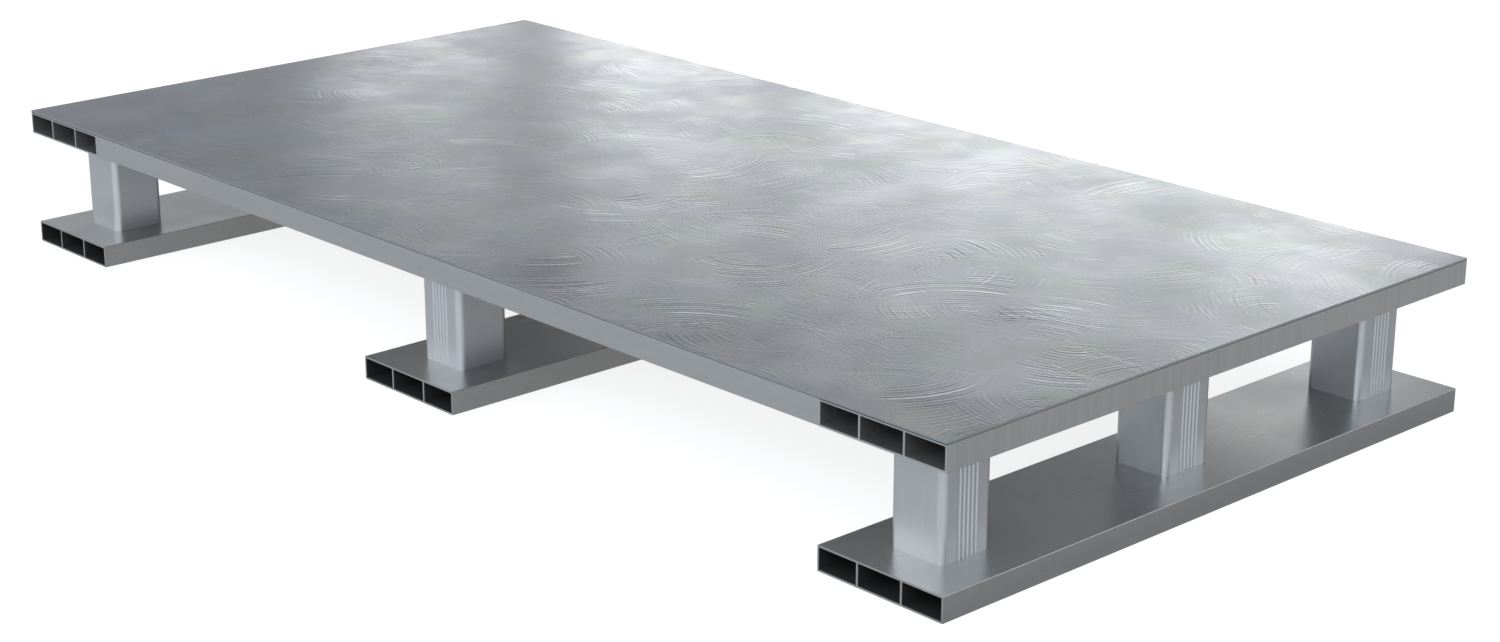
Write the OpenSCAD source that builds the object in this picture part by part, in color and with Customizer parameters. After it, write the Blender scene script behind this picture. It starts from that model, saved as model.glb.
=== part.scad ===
// Aluminium pallet. A plain sheet lies on a frame of flat hollow profiles with three cells,
// and nine hollow fluted posts stand on three runners cut from the same profile.
// The origin is the middle of the footprint on the floor, X runs along the long side, Z is up.
// Left and right are -X and +X, front and back are -Y and +Y.

/* [Pallet] */
// Length along X
pallet_length = 1200; // [900:10:1600]
// Width along Y
pallet_width = 600; // [500:10:1000]
// Height of the fork entry between the runners and the deck frame
entry_height = 88; // [60:1:140]

/* [Top sheet] */
// Thickness of the sheet
sheet_thickness = 2; // [1:0.5:5]

/* [Three cell profile] */
// Width of the profile
profile_width = 120; // [100:1:150]
// Height of the profile
profile_height = 20; // [16:1:30]
// Thickness of the outer walls
profile_wall = 1.5; // [1.2:0.1:2.5]
// Thickness of the two webs
web_thickness = 1.8; // [1.2:0.1:2.5]
// Distance between the middles of the two webs
web_spacing = 42; // [34:1:50]
// Rounding of the outer edges
edge_radius = 0.5; // [0.3:0.1:0.8]

/* [Posts] */
// Side of the square post
post_side = 50; // [44:1:70]
// Rounding of the upright edges
post_radius = 6; // [4.5:0.5:7]
// Wall of the hollow post
post_wall = 2.5; // [2:0.1:3.5]
// Number of flutes on the outward face
flute_count = 5; // [3:1:6]
// Distance from flute to flute
flute_spacing = 4.2; // [3.8:0.1:4.6]
// Width of a flute at the face
flute_width = 3.2; // [2.4:0.1:3.4]
// Depth of a flute
flute_depth = 0.9; // [0.5:0.1:1.2]

/* [Hidden] */
$fn = 64;
sheet_metal = [0.70, 0.71, 0.72];
profile_metal = [0.62, 0.63, 0.65];
post_metal = [0.66, 0.67, 0.69];

// heights of the layers, from the floor up
runner_top = profile_height;
deck_base = runner_top + entry_height;
deck_top = deck_base + profile_height;
pallet_height = deck_top + sheet_thickness;

// the three lines of posts each way
line_x = (pallet_length - profile_width) / 2;
line_y = (pallet_width - profile_width) / 2;
stringer_length = pallet_length - 2 * profile_width;
cross_length = line_y - profile_width;
cross_y = line_y / 2;

// cells of the profile
cell_height = profile_height - 2 * profile_wall;
middle_cell = web_spacing - web_thickness;
side_cell_start = (web_spacing + web_thickness) / 2;
side_cell = profile_width / 2 - profile_wall - side_cell_start;

// radius of the round bottom of a flute
flute_radius = (pow(flute_width / 2, 2) + pow(flute_depth, 2)) / (2 * flute_depth);

// outline with four round corners, centred
module rounded_outline(across, high, r) {
    square([across - 2 * r, high], center = true);
    square([across, high - 2 * r], center = true);
    for (sx = [-1, 1], sy = [-1, 1])
        translate([sx * (across / 2 - r), sy * (high / 2 - r)])
            circle(r = r);
}

// section of the flat profile: a closed outer wall and two webs
module profile_section() {
    difference() {
        rounded_outline(profile_width, profile_height, edge_radius);
        square([middle_cell, cell_height], center = true);
        for (side = [-1, 1])
            translate([side * (side_cell_start + side_cell / 2), 0])
                square([side_cell, cell_height], center = true);
    }
}

// a length of profile lying flat along Y, its underside at the given height
module bar_along_y(length, base) {
    translate([0, 0, base + profile_height / 2])
        rotate([90, 0, 0])
            linear_extrude(height = length, center = true)
                profile_section();
}

// a length of profile lying flat along X, its underside at the given height
module bar_along_x(length, base) {
    translate([0, 0, base + profile_height / 2])
        rotate([90, 0, 90])
            linear_extrude(height = length, center = true)
                profile_section();
}

// section of a post: a square tube with round edges and a row of round flutes on its +X face
module post_section() {
    bore = post_side - 2 * post_wall;
    difference() {
        rounded_outline(post_side, post_side, post_radius);
        rounded_outline(bore, bore, post_radius - post_wall);
        for (i = [0 : flute_count - 1])
            translate([post_side / 2 + flute_radius - flute_depth,
                       (i - (flute_count - 1) / 2) * flute_spacing])
                circle(r = flute_radius);
    }
}

// a post on the crossing of two lines, its flutes turned to the given side
module post(column, row, facing) {
    translate([column * line_x, row * line_y, runner_top])
        rotate([0, 0, facing])
            linear_extrude(height = entry_height)
                post_section();
}

module runner(column) {
    translate([column * line_x, 0, 0])
        bar_along_y(pallet_width, 0);
}

module end_beam(column) {
    translate([column * line_x, 0, 0])
        bar_along_y(pallet_width, deck_base);
}

module stringer(row) {
    translate([0, row * line_y, 0])
        bar_along_x(stringer_length, deck_base);
}

module cross_member(row) {
    translate([0, row * cross_y, 0])
        bar_along_y(cross_length, deck_base);
}

module top_sheet() {
    color(sheet_metal)
        translate([-pallet_length / 2, -pallet_width / 2, deck_top])
            cube([pallet_length, pallet_width, sheet_thickness]);
}

module end_beam_left() {
    color(profile_metal) end_beam(-1);
}

module end_beam_right() {
    color(profile_metal) end_beam(1);
}

module stringer_front() {
    color(profile_metal) stringer(-1);
}

module stringer_centre() {
    color(profile_metal) stringer(0);
}

module stringer_back() {
    color(profile_metal) stringer(1);
}

module cross_member_front() {
    color(profile_metal) cross_member(-1);
}

module cross_member_back() {
    color(profile_metal) cross_member(1);
}

module runner_left() {
    color(profile_metal) runner(-1);
}

module runner_middle() {
    color(profile_metal) runner(0);
}

module runner_right() {
    color(profile_metal) runner(1);
}

// the flutes face outwards: left and right on the end lines, front and back on the middle line
module post_left_front() {
    color(post_metal) post(-1, -1, 180);
}

module post_left_centre() {
    color(post_metal) post(-1, 0, 180);
}

module post_left_back() {
    color(post_metal) post(-1, 1, 180);
}

module post_middle_front() {
    color(post_metal) post(0, -1, -90);
}

module post_middle_centre() {
    color(post_metal) post(0, 0, -90);
}

module post_middle_back() {
    color(post_metal) post(0, 1, 90);
}

module post_right_front() {
    color(post_metal) post(1, -1, 0);
}

module post_right_centre() {
    color(post_metal) post(1, 0, 0);
}

module post_right_back() {
    color(post_metal) post(1, 1, 0);
}

top_sheet();
end_beam_left();
end_beam_right();
stringer_front();
stringer_centre();
stringer_back();
cross_member_front();
cross_member_back();
runner_left();
runner_middle();
runner_right();
post_left_front();
post_left_centre();
post_left_back();
post_middle_front();
post_middle_centre();
post_middle_back();
post_right_front();
post_right_centre();
post_right_back();
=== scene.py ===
from math import pi, radians

import bpy
from mathutils import Matrix, Vector


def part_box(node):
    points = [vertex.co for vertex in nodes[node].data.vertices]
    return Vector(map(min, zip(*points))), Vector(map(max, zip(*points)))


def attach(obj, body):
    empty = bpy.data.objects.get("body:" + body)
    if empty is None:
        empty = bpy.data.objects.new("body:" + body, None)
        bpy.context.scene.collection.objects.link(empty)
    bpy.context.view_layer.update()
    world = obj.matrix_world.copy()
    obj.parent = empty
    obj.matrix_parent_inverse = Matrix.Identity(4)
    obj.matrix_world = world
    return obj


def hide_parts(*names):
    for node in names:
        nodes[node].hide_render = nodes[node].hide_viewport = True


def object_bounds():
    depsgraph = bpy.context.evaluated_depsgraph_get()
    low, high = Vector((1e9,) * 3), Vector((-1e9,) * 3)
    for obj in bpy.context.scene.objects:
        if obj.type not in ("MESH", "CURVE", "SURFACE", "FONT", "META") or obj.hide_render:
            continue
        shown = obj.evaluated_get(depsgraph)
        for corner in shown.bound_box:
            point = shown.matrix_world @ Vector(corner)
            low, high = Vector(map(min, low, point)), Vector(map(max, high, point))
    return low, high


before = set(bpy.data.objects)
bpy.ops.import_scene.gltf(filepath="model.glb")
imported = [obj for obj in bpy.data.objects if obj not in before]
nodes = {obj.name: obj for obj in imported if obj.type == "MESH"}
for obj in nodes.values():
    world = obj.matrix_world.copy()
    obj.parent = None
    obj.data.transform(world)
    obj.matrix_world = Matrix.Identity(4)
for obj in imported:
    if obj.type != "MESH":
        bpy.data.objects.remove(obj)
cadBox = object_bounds()
print("frame loaded:", len(nodes), "nodes")


# helpers for node trees

def put(tree, kind, feeds=None, **settings):
    # a node with its settings; a feed is a value or the socket that drives the input
    node = tree.nodes.new(kind)
    for name, value in settings.items():
        setattr(node, name, value)
    for name, feed in (feeds or {}).items():
        if isinstance(feed, bpy.types.NodeSocket):
            tree.links.new(feed, node.inputs[name])
        else:
            node.inputs[name].default_value = feed
    return node


def useGroup(tree, group, feeds):
    return put(tree, "ShaderNodeGroup", feeds, node_tree=group).outputs


def calc(tree, operation, *feeds):
    return put(tree, "ShaderNodeMath", dict(enumerate(feeds)), operation=operation).outputs[0]


def vectorCalc(tree, operation, *feeds):
    node = put(tree, "ShaderNodeVectorMath", dict(enumerate(feeds)), operation=operation)
    return node.outputs["Value" if operation == "LENGTH" else "Vector"]


def scaleVector(tree, vector, factor):
    # a colour counts as a vector too
    feeds = {0: vector, "Scale": factor}
    return put(tree, "ShaderNodeVectorMath", feeds, operation="SCALE").outputs["Vector"]


def splitVector(tree, vector):
    return put(tree, "ShaderNodeSeparateXYZ", {"Vector": vector}).outputs


def remap(tree, value, low, high, toLow=0.0, toHigh=1.0, smooth=True):
    feeds = {"Value": value, "From Min": low, "From Max": high, "To Min": toLow, "To Max": toHigh}
    node = put(tree, "ShaderNodeMapRange", feeds, interpolation_type="SMOOTHSTEP" if smooth else "LINEAR")
    return node.outputs["Result"]


def noise(tree, vector, scale, detail, dimensions="3D", roughness=0.5):
    name = "W" if dimensions == "1D" else "Vector"
    feeds = {name: vector, "Scale": scale, "Detail": detail, "Roughness": roughness}
    return put(tree, "ShaderNodeTexNoise", feeds, noise_dimensions=dimensions).outputs


def voronoi(tree, feeds, feature):
    return put(tree, "ShaderNodeTexVoronoi", feeds, voronoi_dimensions="2D", feature=feature).outputs


def mixColours(tree, factor, first, second):
    # the Mix node keeps its colour sockets after those for numbers and vectors
    node = put(tree, "ShaderNodeMix", {0: factor, 6: first, 7: second}, data_type="RGBA")
    return node.outputs[2]


def newGroup(name, takes, gives):
    group = bpy.data.node_groups.new(name, "ShaderNodeTree")
    for label, kind, value in takes:
        socket = group.interface.new_socket(label, in_out="INPUT", socket_type="NodeSocket" + kind)
        if value is not None:
            socket.default_value = value
    for label, kind in gives:
        group.interface.new_socket(label, in_out="OUTPUT", socket_type="NodeSocket" + kind)
    start = group.nodes.new("NodeGroupInput")
    end = group.nodes.new("NodeGroupOutput")
    return group, start.outputs, end.inputs


def newMaterial(name):
    material = bpy.data.materials.new(name)
    material.use_nodes = True
    tree = material.node_tree
    tree.nodes.clear()
    return material, tree


# shared effects; a pair of noise values says where the effect starts and where it is full

swirl = {
    "wander": 0.025,  # how far the borders of the patches stray from straight lines
    "wanderScale": 14.0,
    "seedStep": 91.0,  # sets the lines of one patch apart from those of the next
    "unevenness": 0.8,  # of the spacing of the lines
    "depthScale": 0.7,  # each line has its own depth
    "depthNoise": (0.34, 0.70),
    "depths": (0.15, 0.85),
    "strokeShift": (9, 9, 0),  # along their length the lines come and go, in each patch in its own way
    "strokeScale": 22.0,
    "strokeNoise": (0.36, 0.60),
    "fade": (0.01, 0.16),  # from the border of a patch inwards, in patches
    "faintest": 0.15,
}


def makeSwirlGroup():
    # arcs left by a turning brush: each patch has its own centre of turn, and its arcs fade at its border;
    # the slope of the arcs is given outright, in the plane of the sheet
    group, given, out = newGroup(
        "swirlArcs",
        [("Vector", "Vector", None),
         ("Patches per metre", "Float", 10.0), ("Lines per metre", "Float", 240.0),
         ("Least radius", "Float", 0.04), ("Most radius", "Float", 0.12), ("Rarity", "Float", 3.0)],
        [("Slope", "Vector"), ("Marks", "Float")])

    # patches, each with three random numbers
    flat = vectorCalc(group, "MULTIPLY", given["Vector"], (1, 1, 0))
    wander = swirl["wander"]
    drift = noise(group, flat, swirl["wanderScale"], 0.0, "2D")["Color"]
    drift = vectorCalc(group, "MULTIPLY_ADD", drift, (2 * wander, 2 * wander, 0), (-wander, -wander, 0))
    patchFeeds = {"Vector": vectorCalc(group, "ADD", flat, drift), "Scale": given["Patches per metre"]}
    patch = voronoi(group, patchFeeds, "F1")
    border = voronoi(group, patchFeeds, "DISTANCE_TO_EDGE")["Distance"]
    lot = put(group, "ShaderNodeSeparateColor", {"Color": patch["Color"]}).outputs

    # centre of turn
    angle = calc(group, "MULTIPLY", lot["Red"], 2 * pi)
    radius = remap(group, lot["Green"], 0, 1, given["Least radius"], given["Most radius"], smooth=False)
    armX = calc(group, "MULTIPLY", calc(group, "COSINE", angle), radius)
    armY = calc(group, "MULTIPLY", calc(group, "SINE", angle), radius)
    arm = put(group, "ShaderNodeCombineXYZ", {"X": armX, "Y": armY}).outputs[0]
    centre = vectorCalc(group, "ADD", patch["Position"], arm)
    fromCentre = vectorCalc(group, "SUBTRACT", flat, centre)

    # lines around it
    count = calc(group, "MULTIPLY", vectorCalc(group, "LENGTH", fromCentre), given["Lines per metre"])
    seed = calc(group, "MULTIPLY_ADD", lot["Blue"], swirl["seedStep"], count)
    own = noise(group, seed, swirl["depthScale"], 1.0, "1D")["Fac"]
    turns = calc(group, "MULTIPLY", calc(group, "MULTIPLY_ADD", own, swirl["unevenness"], count), 2 * pi)
    comb = calc(group, "SINE", turns)
    comb = calc(group, "MULTIPLY", comb, calc(group, "ABSOLUTE", comb))
    lines = calc(group, "MULTIPLY", comb, remap(group, own, *swirl["depthNoise"], *swirl["depths"]))

    # where they show
    touch = vectorCalc(group, "MULTIPLY_ADD", patch["Color"], swirl["strokeShift"], flat)
    stroke = remap(group, noise(group, touch, swirl["strokeScale"], 0.0, "2D")["Fac"], *swirl["strokeNoise"])
    inside = remap(group, border, *swirl["fade"])
    rare = calc(group, "POWER", lot["Blue"], given["Rarity"])
    strength = calc(group, "MULTIPLY_ADD", rare, 1 - swirl["faintest"], swirl["faintest"])
    marks = calc(group, "MULTIPLY", calc(group, "MULTIPLY", inside, stroke), strength)
    outwards = vectorCalc(group, "NORMALIZE", fromCentre)
    slope = scaleVector(group, outwards, calc(group, "MULTIPLY", lines, marks))
    group.links.new(slope, out["Slope"])
    group.links.new(marks, out["Marks"])
    return group


drawing = {"fineScale": 4.0, "noise": (0.3, 0.7)}


def makeLinesGroup():
    # drawn lines: noise pulled out along one direction, a stretch near 0 is along the lines
    group, given, out = newGroup(
        "drawnLines",
        [("Vector", "Vector", None), ("Stretch", "Vector", (1.0, 0.01, 1.0)), ("Scale", "Float", 600.0)],
        [("Lines", "Float"), ("Fine", "Float")])
    along = vectorCalc(group, "MULTIPLY", given["Vector"], given["Stretch"])
    broad = noise(group, along, given["Scale"], 2.0)["Fac"]
    fineScale = calc(group, "MULTIPLY", given["Scale"], drawing["fineScale"])
    fine = noise(group, along, fineScale, 1.0)["Fac"]
    group.links.new(remap(group, broad, *drawing["noise"], smooth=False), out["Lines"])
    group.links.new(remap(group, fine, *drawing["noise"], smooth=False), out["Fine"])
    return group


clouding = {
    "roughness": 0.55,
    "noise": (0.3, 0.7),
    "tintScale": 1.6,  # the tint changes in smaller patches than the clouds
    "tintShift": (3.1, 1.7, 0.9),
    "tintNoise": (0.35, 0.65),
}


def makeHazeGroup():
    # cloudy handling haze, and a slight change of tint from patch to patch
    group, given, out = newGroup(
        "hazeClouds",
        [("Vector", "Vector", None), ("Clouds per metre", "Float", 9.0),
         ("Colour", "Color", (0.4, 0.4, 0.4, 1)), ("Cool", "Color", (0.38, 0.40, 0.43, 1)),
         ("Tint", "Float", 0.5), ("Shade", "Float", 0.1)],
        [("Colour", "Color"), ("Clouds", "Float")])
    scale = given["Clouds per metre"]
    clouds = noise(group, given["Vector"], scale, 3.0, roughness=clouding["roughness"])["Fac"]
    clouds = remap(group, clouds, *clouding["noise"])
    shifted = vectorCalc(group, "ADD", given["Vector"], clouding["tintShift"])
    tints = noise(group, shifted, calc(group, "MULTIPLY", scale, clouding["tintScale"]), 2.0)["Fac"]
    tints = calc(group, "MULTIPLY", remap(group, tints, *clouding["tintNoise"]), given["Tint"])
    mixed = mixColours(group, tints, given["Colour"], given["Cool"])
    level = calc(group, "SUBTRACT", 1.0, calc(group, "MULTIPLY", clouds, given["Shade"]))
    group.links.new(scaleVector(group, mixed, level), out["Colour"])
    group.links.new(clouds, out["Clouds"])
    return group


seam = {
    "rim": (-0.002, -0.001),  # the painted shade starts and is full so far inside the rim
    "fade": (0.6, 1.0),  # it thins out between these shares of its reach
}


def makePaintedSeamShadeGroup():
    # painted shade in the joint around the rim of the sheet, standing in for the shadow in the groove
    # between the sheet and the frame
    group, given, out = newGroup(
        "paintedSeamShade",
        [("Vector", "Vector", None), ("Half length", "Float", 0.6), ("Half width", "Float", 0.3),
         ("Seam height", "Float", 0.128), ("Reach", "Float", 0.0005), ("Least", "Float", 0.3)],
        [("Shade", "Float")])
    spot = splitVector(group, given["Vector"])
    pastEnd = calc(group, "SUBTRACT", calc(group, "ABSOLUTE", spot["X"]), given["Half length"])
    pastSide = calc(group, "SUBTRACT", calc(group, "ABSOLUTE", spot["Y"]), given["Half width"])
    rim = remap(group, calc(group, "MAXIMUM", pastEnd, pastSide), *seam["rim"])
    upright = calc(group, "ABSOLUTE", calc(group, "SUBTRACT", spot["Z"], given["Seam height"]))
    reached = calc(group, "DIVIDE", upright, given["Reach"])
    paintedShade = calc(group, "MULTIPLY", rim, remap(group, reached, *seam["fade"], 1, 0))
    group.links.new(remap(group, paintedShade, 0, 1, 1, given["Least"], smooth=False), out["Shade"])
    return group


def makeCellShadeGroup():
    # painted shade on the walls inside the cells of a bar that lies along Y on one of three evenly spaced
    # lines
    group, given, out = newGroup(
        "paintedCellShade",
        [("Vector", "Vector", None), ("Spacing", "Float", 0.54), ("Heart height", "Float", 0.01),
         ("Half width", "Float", 0.0588), ("Half height", "Float", 0.0088), ("Half length", "Float", 0.2996),
         ("Least", "Float", 0.5)],
        [("Shade", "Float")])
    spot = splitVector(group, given["Vector"])
    across = calc(group, "PINGPONG", spot["X"], calc(group, "MULTIPLY", given["Spacing"], 0.5))
    upright = calc(group, "ABSOLUTE", calc(group, "SUBTRACT", spot["Z"], given["Heart height"]))
    along = calc(group, "ABSOLUTE", spot["Y"])
    inside = calc(group, "LESS_THAN", across, given["Half width"])
    for distance, limit in ((upright, "Half height"), (along, "Half length")):
        inside = calc(group, "MULTIPLY", inside, calc(group, "LESS_THAN", distance, given[limit]))
    group.links.new(remap(group, inside, 0, 1, 1, given["Least"], smooth=False), out["Shade"])
    return group


swirlGroup = makeSwirlGroup()
linesGroup = makeLinesGroup()
hazeGroup = makeHazeGroup()
paintedSeamShadeGroup = makePaintedSeamShadeGroup()
cellShadeGroup = makeCellShadeGroup()
print("shared effects made")


# finish of the top sheet

sheetFinish = {
    "colour": (0.380, 0.411, 0.405, 1),
    "warm": (0.398, 0.407, 0.408, 1),
    "cool": (0.387, 0.406, 0.448, 1),
    "warmScale": 13.0,
    "warmShift": (5.3, 2.9, 0),
    "warmNoise": (0.38, 0.62),
    "clouds": 9.0,  # per metre
    "tint": 0.9,
    "shade": 0.08,
    "roughness": 0.23,
    "cloudRoughness": 0.08,  # added where the haze is thick
    "markRoughness": -0.05,  # and where the brush has passed
    "swell": 0.016,  # greatest slope of the broad unevenness
    "swellScale": 12.0,
    "layerShift": (3.7, 2.3),
    "layers": [  # patches and lines per metre, least and most radius, rarity, slope of the boldest arcs
        (9.0, 185.0, 0.045, 0.110, 1.8, 0.060),
        (10.0, 205.0, 0.050, 0.130, 1.6, 0.056),
        (11.0, 225.0, 0.035, 0.100, 1.4, 0.046),
        (8.0, 240.0, 0.070, 0.180, 1.2, 0.035),
        (10.0, 260.0, 0.060, 0.160, 1.0, 0.027),
    ],
}


def makeSheetMetal():
    material, tree = newMaterial("sheetMetal")
    spot = put(tree, "ShaderNodeTexCoord").outputs["Object"]

    # slope of the surface, from the broad unevenness and the layers of arcs
    swell = sheetFinish["swell"]
    unevenness = noise(tree, spot, sheetFinish["swellScale"], 2.0)["Color"]
    slope = vectorCalc(tree, "MULTIPLY_ADD", unevenness, (2 * swell,) * 3, (-swell,) * 3)
    shiftX, shiftY = sheetFinish["layerShift"]
    boldest = sheetFinish["layers"][0][-1]
    marks = None
    for i, (patches, lines, least, most, rarity, steep) in enumerate(sheetFinish["layers"], 1):
        moved = vectorCalc(tree, "ADD", spot, (shiftX * i, shiftY * i, 0))
        arcs = useGroup(tree, swirlGroup, {
            "Vector": moved, "Patches per metre": patches, "Lines per metre": lines,
            "Least radius": least, "Most radius": most, "Rarity": rarity})
        slope = vectorCalc(tree, "MULTIPLY_ADD", arcs["Slope"], (steep, steep, 0), slope)
        mark = calc(tree, "MULTIPLY", arcs["Marks"], steep / boldest)
        marks = mark if marks is None else calc(tree, "MAXIMUM", marks, mark)

    # the slope acts only in the plane of each face
    level = put(tree, "ShaderNodeNewGeometry").outputs["Normal"]
    upright = vectorCalc(tree, "PROJECT", slope, level)
    leaning = vectorCalc(tree, "SUBTRACT", level, vectorCalc(tree, "SUBTRACT", slope, upright))
    leaning = vectorCalc(tree, "NORMALIZE", leaning)

    # colour and roughness
    shifted = vectorCalc(tree, "ADD", spot, sheetFinish["warmShift"])
    warmth = noise(tree, shifted, sheetFinish["warmScale"], 1.0)["Fac"]
    warmth = remap(tree, warmth, *sheetFinish["warmNoise"])
    base = mixColours(tree, warmth, sheetFinish["colour"], sheetFinish["warm"])
    haze = useGroup(tree, hazeGroup, {
        "Vector": spot, "Clouds per metre": sheetFinish["clouds"], "Colour": base,
        "Cool": sheetFinish["cool"], "Tint": sheetFinish["tint"], "Shade": sheetFinish["shade"]})
    # painted shade along the joint at the rim of the sheet, in place of the shadow in the groove under it
    paintedShade = useGroup(tree, paintedSeamShadeGroup, {"Vector": spot})["Shade"]
    rough = sheetFinish["roughness"]
    rough = calc(tree, "MULTIPLY_ADD", haze["Clouds"], sheetFinish["cloudRoughness"], rough)
    rough = calc(tree, "MULTIPLY_ADD", marks, sheetFinish["markRoughness"], rough)
    metal = put(tree, "ShaderNodeBsdfPrincipled", {
        "Metallic": 1.0, "Base Color": scaleVector(tree, haze["Colour"], paintedShade), "Roughness": rough,
        "Normal": leaning})
    put(tree, "ShaderNodeOutputMaterial", {"Surface": metal.outputs[0]})
    return material


# finishes of the extrusions

drawnMetal = {  # what they have in common
    "metallic": 0.9,
    "clouds": 14.0,  # per metre
    "tint": 0.6,
    "shade": 0.05,
    "cloudRoughness": 0.06,  # added where the haze is thick
    "lineRoughness": 0.05,  # and on the fine lines
    "fineHeight": 0.5,  # of the fine lines beside the broad ones
}
runnerFinish = {
    "colour": (0.334, 0.336, 0.334, 1),
    "cool": (0.326, 0.333, 0.339, 1),
    "roughness": 0.26,
    "stretch": (1, 0.012, 1),  # near 0 along the lines
    "scale": 500,
    "relief": 0.000004,
    "streak": 0.02,  # how much lighter and darker the lines are
    "heart": 0.010,  # height of the middle of the cells, and how much of the tone their walls keep under the painted shade
    "cells": 0.4,
}
beamFinish = {
    "colour": (0.366, 0.371, 0.373, 1),
    "cool": (0.355, 0.369, 0.382, 1),
    "roughness": 0.26,
    "stretch": (0.02, 1, 0.02),  # the streaks stand upright on the face of an end beam
    "scale": 260,
    "relief": 0.000006,
    "streak": 0.05,
    "heart": 0.118,
    "cells": 0.88,
}
stringerFinish = {
    "colour": (0.366, 0.371, 0.373, 1),
    "cool": (0.355, 0.369, 0.382, 1),
    "roughness": 0.26,
    "stretch": (0.012, 1, 1),
    "scale": 500,
    "relief": 0.000004,
    "streak": 0.02,
}
postFinish = {
    "colour": (0.410, 0.421, 0.432, 1),
    "cool": (0.394, 0.416, 0.440, 1),
    "roughness": 0.34,
    "stretch": (1, 1, 0.012),
    "scale": 700,
    "relief": 0.000003,
    "streak": 0.02,
}


def makeDrawnMetal(name, finish):
    # lines along the stretch, faint streaks in tone and roughness, and haze, with painted shade at the joint
    # under the sheet and inside the cells
    material, tree = newMaterial(name)
    spot = put(tree, "ShaderNodeTexCoord").outputs["Object"]
    drawn = useGroup(tree, linesGroup, {
        "Vector": spot, "Stretch": finish["stretch"], "Scale": finish["scale"]})
    haze = useGroup(tree, hazeGroup, {
        "Vector": spot, "Clouds per metre": drawnMetal["clouds"], "Colour": finish["colour"],
        "Cool": finish["cool"], "Tint": drawnMetal["tint"], "Shade": drawnMetal["shade"]})
    tone = remap(tree, drawn["Lines"], 0, 1, 1 - finish["streak"], 1 + finish["streak"], smooth=False)
    # painted shade along the joint under the rim of the sheet
    tone = calc(tree, "MULTIPLY", tone, useGroup(tree, paintedSeamShadeGroup, {"Vector": spot})["Shade"])
    # painted shade on the walls inside the cells
    if "cells" in finish:
        cellShadeFeeds = {"Vector": spot, "Heart height": finish["heart"], "Least": finish["cells"]}
        tone = calc(tree, "MULTIPLY", tone, useGroup(tree, cellShadeGroup, cellShadeFeeds)["Shade"])
    rough = calc(tree, "MULTIPLY_ADD", haze["Clouds"], drawnMetal["cloudRoughness"], finish["roughness"])
    rough = calc(tree, "MULTIPLY_ADD", drawn["Fine"], drawnMetal["lineRoughness"], rough)
    height = calc(tree, "MULTIPLY_ADD", drawn["Fine"], drawnMetal["fineHeight"], drawn["Lines"])
    bump = put(tree, "ShaderNodeBump", {"Strength": 1.0, "Distance": finish["relief"], "Height": height})
    metal = put(tree, "ShaderNodeBsdfPrincipled", {
        "Metallic": drawnMetal["metallic"], "Base Color": scaleVector(tree, haze["Colour"], tone),
        "Roughness": rough, "Normal": bump.outputs["Normal"]})
    put(tree, "ShaderNodeOutputMaterial", {"Surface": metal.outputs[0]})
    return material


sheetMetal = makeSheetMetal()
runnerMetal = makeDrawnMetal("runnerMetal", runnerFinish)
beamMetal = makeDrawnMetal("beamMetal", beamFinish)
stringerMetal = makeDrawnMetal("stringerMetal", stringerFinish)
postMetal = makeDrawnMetal("postMetal", postFinish)

metals = {"runner": runnerMetal, "end_beam": beamMetal, "stringer": stringerMetal,
          "cross_member": stringerMetal, "post": postMetal}
for name, node in nodes.items():
    for start, metal in metals.items():
        if name.startswith(start):
            for holder in node.material_slots:
                holder.material = metal
print("finishes made")


# top sheet with broken edges

sheet = {"topBreak": 0.00006, "bottomBreak": 0.0004, "steps": 2}


def makeTopSheet():
    low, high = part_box("top_sheet")
    bpy.ops.object.select_all(action="DESELECT")
    bpy.ops.mesh.primitive_cube_add(size=1, location=(low + high) / 2, scale=high - low)
    piece = bpy.context.object
    piece.name = "top_sheet_finished"
    bpy.ops.object.transform_apply(location=True, rotation=True, scale=True)
    bpy.ops.object.mode_set(mode="EDIT")
    bpy.ops.mesh.select_mode(type="FACE")
    bpy.ops.mesh.select_all(action="DESELECT")
    bpy.ops.object.mode_set(mode="OBJECT")
    for side, size in ((1, sheet["topBreak"]), (-1, sheet["bottomBreak"])):
        for polygon in piece.data.polygons:
            polygon.select = polygon.normal.z * side > 0.9
        bpy.ops.object.mode_set(mode="EDIT")
        bpy.ops.mesh.bevel(offset=size, segments=sheet["steps"], affect="EDGES")
        bpy.ops.mesh.select_all(action="DESELECT")
        bpy.ops.object.mode_set(mode="OBJECT")
    bpy.ops.object.shade_flat()
    piece.data.materials.append(sheetMetal)
    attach(piece, "root")
    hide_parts("top_sheet")
    return piece


topSheet = makeTopSheet()
print("top sheet made")


# camera at the photo's view

view = {
    "place": (1.7335, -1.5267, 0.7713),
    "heading": 47.154,  # degrees from +Y towards -X
    "tilt": -18.529,
    "roll": 0.069,
    "lens": 65.69,
    "sensor": 36.0,
}


def makeCamera():
    data = bpy.data.cameras.new("camera")
    data.lens = view["lens"]
    data.sensor_fit = "HORIZONTAL"
    data.sensor_width = view["sensor"]
    camera = bpy.data.objects.new("camera", data)
    bpy.context.scene.collection.objects.link(camera)
    turn = (Matrix.Rotation(radians(view["heading"]), 4, "Z")
            @ Matrix.Rotation(radians(90 + view["tilt"]), 4, "X")
            @ Matrix.Rotation(radians(view["roll"]), 4, "Z"))
    camera.matrix_world = Matrix.Translation(view["place"]) @ turn
    bpy.context.scene.camera = camera


makeCamera()
print("camera set")


# studio: pale floor

studioFloor = {
    "size": 60.0,
    "paint": 0.22,
    "glow": 0.82,  # added for the camera, so that the floor is white apart from a soft shadow
    "clearShare": 0.75,  # what metal mirrors is so much of the world below and the rest of the floor
    "clearBeside": 0.30,  # the same on a strip outside each end of the pallet
    "stripOutside": 0.0125,  # where the middle of that strip lies, and how far the strip reaches
    "stripReach": 0.05,
}


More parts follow.
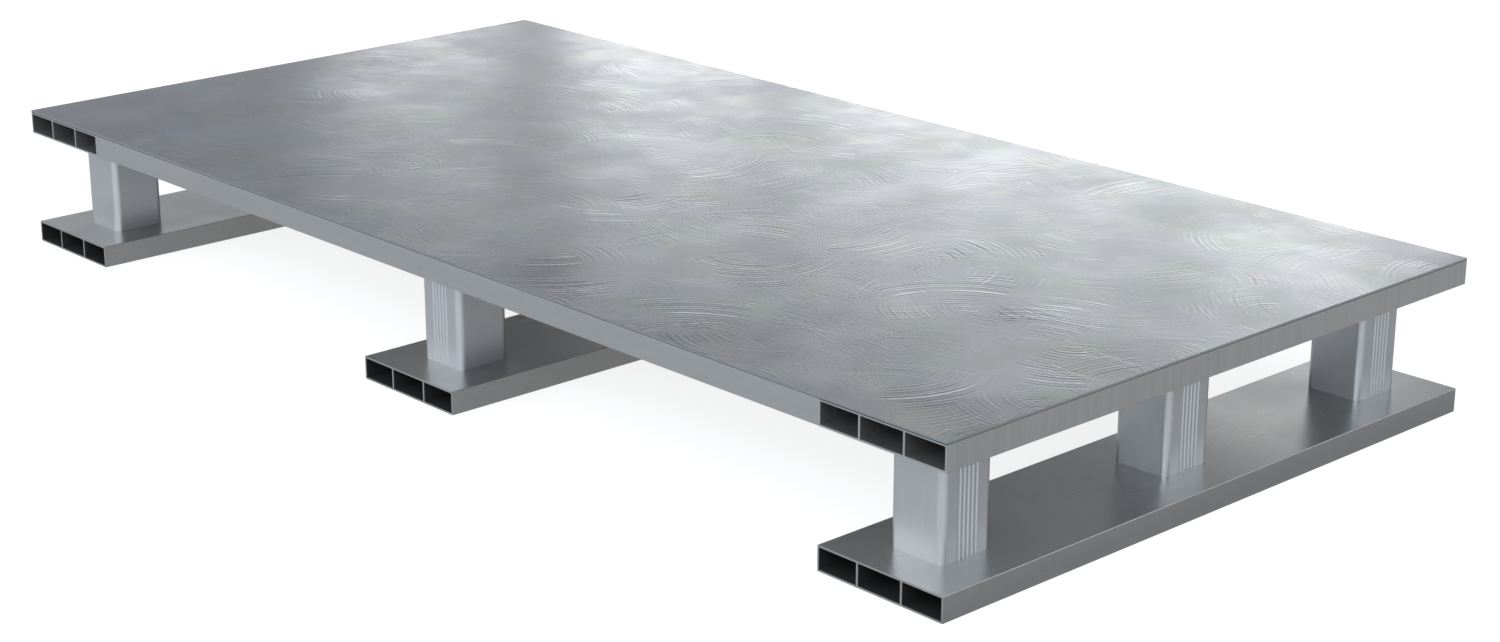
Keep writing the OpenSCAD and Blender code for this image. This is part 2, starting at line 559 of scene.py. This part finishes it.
def makeFloor():
    bpy.ops.object.select_all(action="DESELECT")
    bpy.ops.mesh.primitive_plane_add(size=studioFloor["size"], location=(0, 0, 0))
    floor = bpy.context.object
    floor.name = "studio_floor"
    material, tree = newMaterial("floorPaint")

    # paint, and the glow that only the camera sees
    rays = put(tree, "ShaderNodeLightPath").outputs
    paint = put(tree, "ShaderNodeBsdfDiffuse", {"Color": (studioFloor["paint"],) * 3 + (1,)})
    seen = calc(tree, "MULTIPLY", rays["Is Camera Ray"], studioFloor["glow"])
    glow = put(tree, "ShaderNodeEmission", {"Strength": seen})
    both = put(tree, "ShaderNodeAddShader", {0: paint.outputs[0], 1: glow.outputs[0]})

    # clear from underneath, and partly clear in reflections
    mirrored = calc(tree, "MAXIMUM", rays["Is Glossy Ray"], rays["Is Transmission Ray"])
    spot = splitVector(tree, put(tree, "ShaderNodeTexCoord").outputs["Object"])
    stripMiddle = cadBox[1][0] + studioFloor["stripOutside"]
    away = calc(tree, "ABSOLUTE", calc(tree, "SUBTRACT", calc(tree, "ABSOLUTE", spot["X"]), stripMiddle))
    shares = (studioFloor["clearBeside"], studioFloor["clearShare"])
    share = remap(tree, away, 0, studioFloor["stripReach"], *shares)
    underneath = put(tree, "ShaderNodeNewGeometry").outputs["Backfacing"]
    clearness = calc(tree, "MAXIMUM", underneath, calc(tree, "MULTIPLY", mirrored, share))
    clear = put(tree, "ShaderNodeBsdfTransparent")
    surface = put(tree, "ShaderNodeMixShader", {"Fac": clearness, 1: both.outputs[0], 2: clear.outputs[0]})
    put(tree, "ShaderNodeOutputMaterial", {"Surface": surface.outputs[0]})
    material.cycles.emission_sampling = "NONE"
    floor.data.materials.append(material)


# sky that is greyer higher up, and the world below the horizon; degrees run from -Y towards +X

sky = {
    "heights": [  # from the horizon, 0, to straight above, 1: brightness
        (0.0, 1.0), (0.03, 1.1), (0.08, 0.64), (0.26, 0.40),
        (0.38, 0.22), (0.55, 0.22), (0.75, 0.6), (1.0, 0.9),
    ],
    "tint": (0.97, 1.0, 1.08),
    "around": [  # degrees: how many times as bright the sky is there
        (-180, 1.0), (-110, 1.0), (-60, 1.9), (0, 2.2), (60, 2.2), (120, 1.7), (180, 1.0),
    ],
    "horizonFade": 0.04,  # depth in which the sky gives way to the world below
    "below": [  # degrees: brightness, and how blue
        (-180, 0.85, 0.0),
        (-135, 0.92, 0.0),
        (-90, 0.85, 0.03),
        (-45, 0.73, 0.05),
        (0, 1.40, 0.05),
        (45, 1.48, 0.04),
        (90, 1.18, 0.02),
        (112, 0.74, 0.0),
        (135, 0.57, -0.01),
        (180, 0.85, 0.0),
    ],
}


def makeRamp(tree, value, colours):
    ramp = put(tree, "ShaderNodeValToRGB", {"Fac": value})
    stops = ramp.color_ramp.elements
    stops.remove(stops[1])
    for i, (place, colour) in enumerate(colours):
        stop = stops[0] if i == 0 else stops.new(place)
        stop.position = place
        stop.color = (*colour, 1)
    return ramp.outputs["Color"]


def makeSky():
    world = bpy.data.worlds.new("studio_sky")
    bpy.context.scene.world = world
    world.use_nodes = True
    tree = world.node_tree
    tree.nodes.clear()
    toward = splitVector(tree, put(tree, "ShaderNodeTexCoord").outputs["Generated"])
    turn = calc(tree, "ARCTAN2", toward["X"], calc(tree, "MULTIPLY", toward["Y"], -1))
    turn = calc(tree, "MULTIPLY_ADD", turn, 0.5 / pi, 0.5)  # -180 to 180 degrees become 0 to 1
    heights = [(place, [grey * part for part in sky["tint"]]) for place, grey in sky["heights"]]
    around = [(degrees / 360 + 0.5, (times,) * 3) for degrees, times in sky["around"]]
    below = [(degrees / 360 + 0.5, (grey * (1 - blue), grey, grey * (1 + blue)))
             for degrees, grey, blue in sky["below"]]
    above = vectorCalc(tree, "MULTIPLY", makeRamp(tree, toward["Z"], heights), makeRamp(tree, turn, around))
    sunk = remap(tree, toward["Z"], -sky["horizonFade"], 0, 1, 0)
    colour = mixColours(tree, sunk, above, makeRamp(tree, turn, below))
    back = put(tree, "ShaderNodeBackground", {"Color": colour, "Strength": 1.0})
    put(tree, "ShaderNodeOutputWorld", {"Surface": back.outputs[0]})


# lamps: tall soft windows on a wall at the back, and soft panels around the pallet

windows = {
    "wall": 5.0,
    "sill": 1.92,
    "top": 2.47,
    "tint": (1.0, 1.0, 0.98),
    "row": [  # left and right end, brightness below and above the sill
        (-7.94, -6.77, 1.78, 0.25),
        (-6.34, -5.26, 2.10, 0.45),
        (-5.11, -3.40, 2.02, 0.38),
        (-3.31, -2.42, 1.88, 0.92),
    ],
}
panels = {
    "aim": (0, 0, 0.1),
    "places": [  # name, place, width and height, brightness, tint
        ("frontLeft", (-1.6, -2.4, 1.5), (2.6, 2.3), 3.4, (0.91, 0.96, 1.0)),
        ("front", (0.9, -3.4, 1.9), (3.0, 1.7), 3.9, (0.91, 0.96, 1.0)),
        ("right", (2.6, -1.9, 1.8), (3.4, 1.5), 4.1, (0.92, 0.97, 1.0)),
        ("backRight", (2.6, 2.3, 1.5), (2.6, 2.0), 2.3, (0.95, 0.98, 1.0)),
        ("backLeft", (-9.5, 5.2, 3.6), (3.0, 2.2), 0.58, (0.96, 0.99, 1.0)),
    ],
}


def makeLamp(name, place, size, bright, aim, tint):
    data = bpy.data.lights.new(name, "AREA")
    data.shape = "RECTANGLE"
    data.size, data.size_y = size
    data.energy = pi * size[0] * size[1] * bright  # bright is how white the lamp looks in a mirror
    data.color = tint
    lamp = bpy.data.objects.new(name, data)
    bpy.context.scene.collection.objects.link(lamp)
    toward = Vector(aim) - Vector(place)
    lamp.matrix_world = Matrix.Translation(place) @ toward.to_track_quat("-Z", "Y").to_matrix().to_4x4()
    lamp.visible_camera = False
    return lamp


def makeWindows():
    for i, (start, end, lower, upper) in enumerate(windows["row"], 1):
        halves = (("lower", 0, windows["sill"], lower), ("upper", windows["sill"], windows["top"], upper))
        for name, low, high, bright in halves:
            middle = (start + end) / 2
            height = (low + high) / 2
            place = (middle, windows["wall"], height)
            aim = (middle, 0, height)
            makeLamp(f"{name}_window_{i}", place, (end - start, high - low), bright, aim, windows["tint"])


def makePanels():
    lit = bpy.data.collections.new("lit_by_panels")
    lit.objects.link(topSheet)
    lit.collection_objects[0].light_linking.link_state = "EXCLUDE"  # no glare on the deck from behind
    for name, place, size, bright, tint in panels["places"]:
        lamp = makeLamp(name, place, size, bright, panels["aim"], tint)
        lamp.light_linking.receiver_collection = lit


makeFloor()
makeSky()
makeWindows()
makePanels()
bpy.context.scene.view_settings.view_transform = "Standard"
print("studio made")
